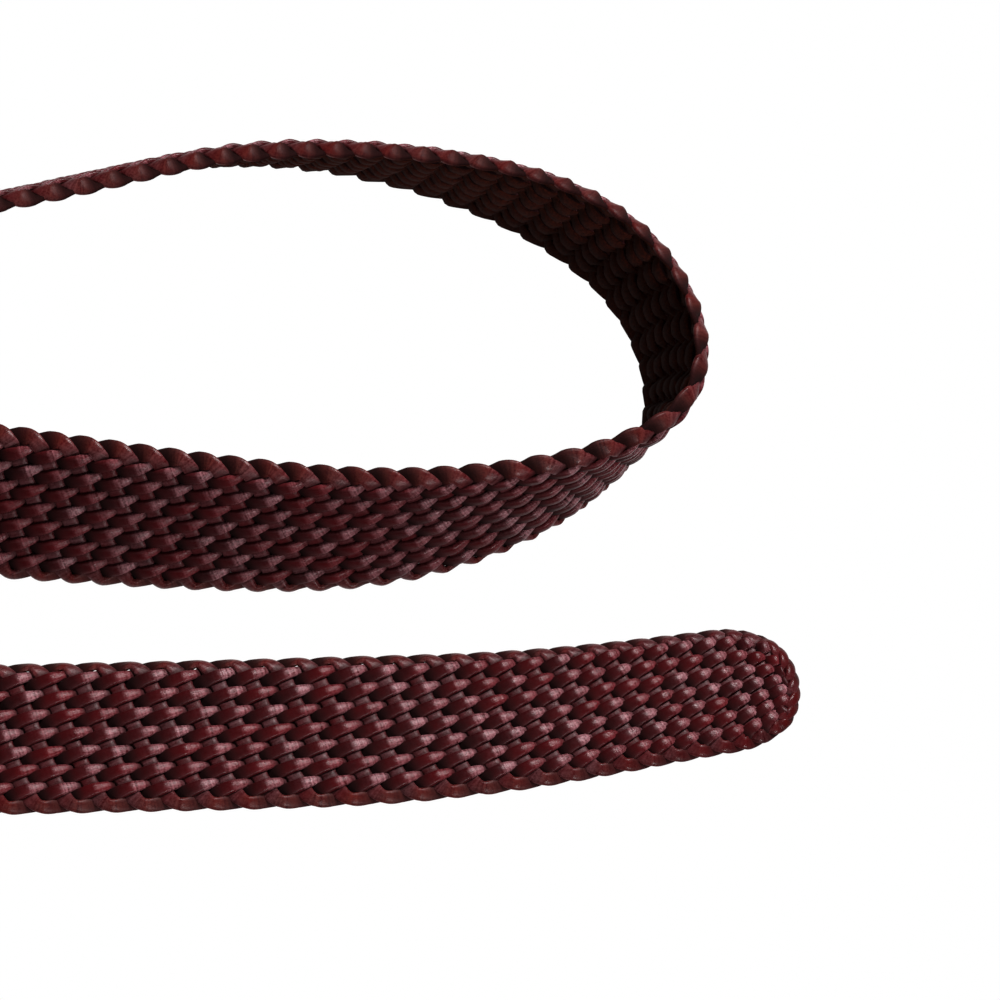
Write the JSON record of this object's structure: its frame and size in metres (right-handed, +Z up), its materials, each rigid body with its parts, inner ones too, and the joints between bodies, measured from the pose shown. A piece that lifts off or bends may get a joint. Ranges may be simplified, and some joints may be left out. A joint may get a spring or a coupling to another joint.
{
  "type": "braided leather belt",
  "caption": "Woven leather belt with a rounded flat tail, lying unbuckled in an open spiral, with a folded end tab and a plain frame buckle",
  "frame": {"origin": "middle of the whole belt in plan, on the surface that it lies on", "axes": "+X along the long way of the spiral towards the tail's tip, +Z up, -Y the side where the tail lies"},
  "size_m": [0.38, 0.1634, 0.0339],
  "materials": {
    "braided_leather": "dark oxblood braided strands with a soft sheen",
    "tab_leather": "dark oxblood smooth grain leather",
    "buckle_metal": "plain satin"
  },
  "bodies": {
    "root": {"strap": "braided_leather", "end_tab": "tab_leather", "buckle": "buckle_metal"}
  },
  "joints": []
}
